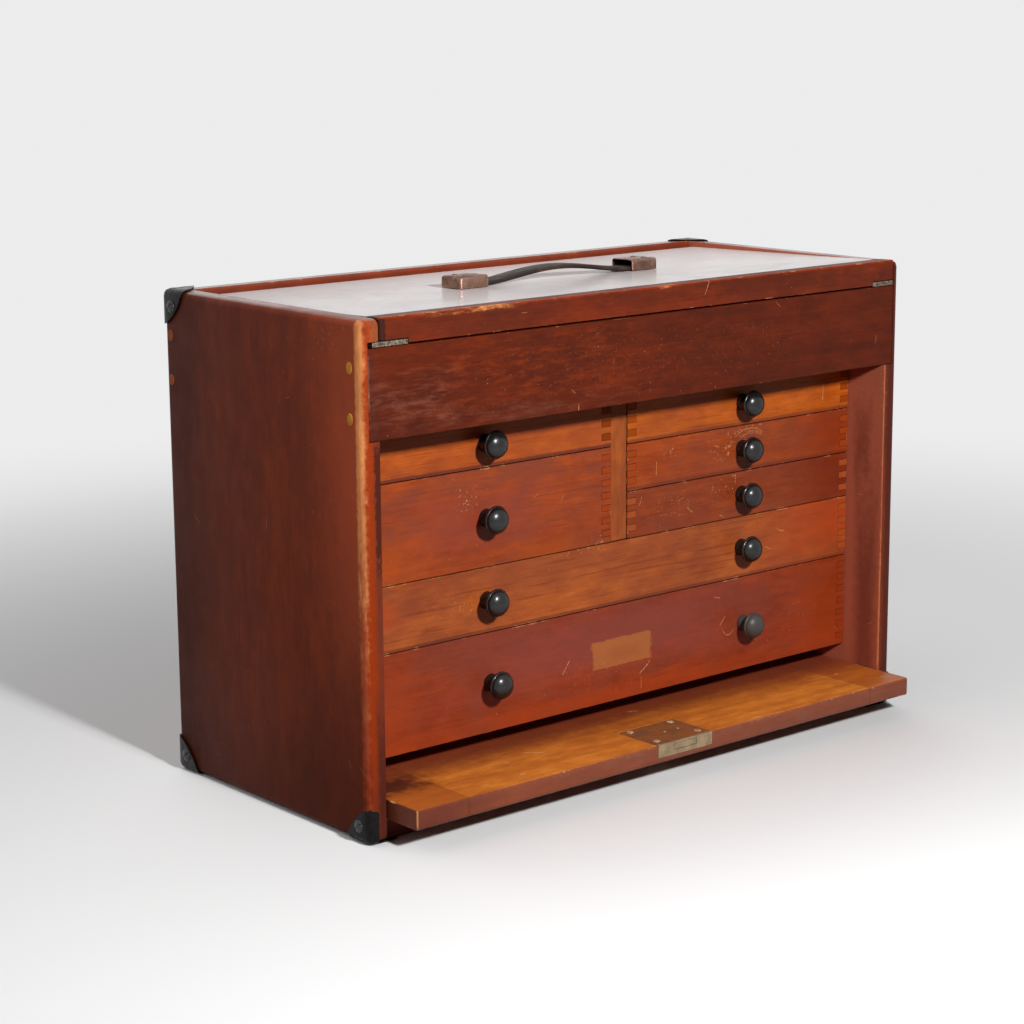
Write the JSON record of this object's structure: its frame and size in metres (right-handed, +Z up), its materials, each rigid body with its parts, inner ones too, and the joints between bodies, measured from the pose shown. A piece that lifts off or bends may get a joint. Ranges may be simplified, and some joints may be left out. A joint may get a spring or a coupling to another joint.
{
  "type": "tool chest",
  "caption": "Mahogany engineer's tool chest: finger-jointed drawers with turned knobs, drop front stowed in a slot under them, pinned lid with strap handle, steel corner plates.",
  "frame": {"origin": "on the floor under the middle of the footprint, the drop front put away", "axes": "+X to the chest's right, seen from the front; front faces -Y; +Z up"},
  "size_m": [0.4824, 0.2472, 0.3365],
  "materials": {
    "case_wood": "polished",
    "front_wood": "polished",
    "drawer_wood": "polished",
    "pale_wood": "polished",
    "ebonised_wood": "polished",
    "strap_leather": "worn",
    "cap_bronze": "tarnished",
    "cover_bronze": "tarnished",
    "lock_brass": "tarnished",
    "black_steel": "black japan",
    "bare_steel": "worn"
  },
  "bodies": {
    "case": {"base_board": "case_wood", "case_floor": "pale_wood", "till_floor": "pale_wood", "front_fascia": "front_wood", "back_rail": "case_wood", "back_panel": "case_wood", "left_side": "case_wood", "right_side": "case_wood", "drawer_divider": "front_wood", "lock_keeper": "lock_brass", "left_lid_pin": "bare_steel", "right_lid_pin": "bare_steel", "left_lid_strip": "bare_steel", "right_lid_strip": "bare_steel", "lower_back_left_plate": "black_steel", "lower_back_right_plate": "black_steel", "lower_front_left_plate": "black_steel", "lower_front_right_plate": "black_steel", "upper_back_left_plate": "black_steel", "upper_back_right_plate": "black_steel"},
    "lid": {"lid_board": "front_wood", "lid_rail": "front_wood", "left_handle_cap": "cap_bronze", "right_handle_cap": "cap_bronze"},
    "strap": {"handle_strap": "strap_leather"},
    "drop_front": {"drop_front": "front_wood", "lock_case": "lock_brass", "lock_cover": "cover_bronze", "keyhole_plate": "lock_brass"},
    "lock_bolt": {"lock_bolt": "lock_brass"},
    "left_upper_drawer": {"left_upper_drawer_bottom": "pale_wood", "left_upper_drawer_box": "pale_wood", "left_upper_drawer_front": "drawer_wood", "left_upper_drawer_knob": "ebonised_wood"},
    "left_lower_drawer": {"left_lower_drawer_bottom": "pale_wood", "left_lower_drawer_box": "pale_wood", "left_lower_drawer_front": "drawer_wood", "left_lower_drawer_knob": "ebonised_wood"},
    "right_upper_drawer": {"right_upper_drawer_bottom": "pale_wood", "right_upper_drawer_box": "pale_wood", "right_upper_drawer_front": "drawer_wood", "right_upper_drawer_knob": "ebonised_wood"},
    "right_middle_drawer": {"right_middle_drawer_bottom": "pale_wood", "right_middle_drawer_box": "pale_wood", "right_middle_drawer_front": "drawer_wood", "right_middle_drawer_knob": "ebonised_wood"},
    "right_lower_drawer": {"right_lower_drawer_bottom": "pale_wood", "right_lower_drawer_box": "pale_wood", "right_lower_drawer_front": "drawer_wood", "right_lower_drawer_knob": "ebonised_wood"},
    "long_drawer": {"long_drawer_bottom": "pale_wood", "long_drawer_box": "pale_wood", "long_drawer_front": "drawer_wood", "long_drawer_left_knob": "ebonised_wood", "long_drawer_right_knob": "ebonised_wood"},
    "deep_drawer": {"deep_drawer_bottom": "pale_wood", "deep_drawer_box": "pale_wood", "deep_drawer_front": "drawer_wood", "deep_drawer_left_knob": "ebonised_wood", "deep_drawer_right_knob": "ebonised_wood"}
  },
  "joints": [
    {"name": "lid_hinge", "type": "hinge", "parent": "case", "child": "lid", "pos_m": [0, 0.1027, 0.31824], "axis": [-1, 0, 0], "range_deg": [0, 90]},
    {"name": "strap_shift", "type": "slide", "parent": "lid", "child": "strap", "axis": [1, 0, 0], "range_m": [-0.002, 0.002]},
    {"name": "front_slide", "type": "slide", "parent": "case", "child": "drop_front", "axis": [0, -1, 0], "range_m": [0, 0.2]},
    {"name": "bolt_throw", "type": "slide", "parent": "drop_front", "child": "lock_bolt", "axis": [0, -1, 0], "range_m": [0, 0.006]},
    {"name": "left_upper_drawer_slide", "type": "slide", "parent": "case", "child": "left_upper_drawer", "axis": [0, -1, 0], "range_m": [0, 0.14]},
    {"name": "left_lower_drawer_slide", "type": "slide", "parent": "case", "child": "left_lower_drawer", "axis": [0, -1, 0], "range_m": [0, 0.14]},
    {"name": "right_upper_drawer_slide", "type": "slide", "parent": "case", "child": "right_upper_drawer", "axis": [0, -1, 0], "range_m": [0, 0.14]},
    {"name": "right_middle_drawer_slide", "type": "slide", "parent": "case", "child": "right_middle_drawer", "axis": [0, -1, 0], "range_m": [0, 0.14]},
    {"name": "right_lower_drawer_slide", "type": "slide", "parent": "case", "child": "right_lower_drawer", "axis": [0, -1, 0], "range_m": [0, 0.14]},
    {"name": "long_drawer_slide", "type": "slide", "parent": "case", "child": "long_drawer", "axis": [0, -1, 0], "range_m": [0, 0.14]},
    {"name": "deep_drawer_slide", "type": "slide", "parent": "case", "child": "deep_drawer", "axis": [0, -1, 0], "range_m": [0, 0.14]}
  ]
}
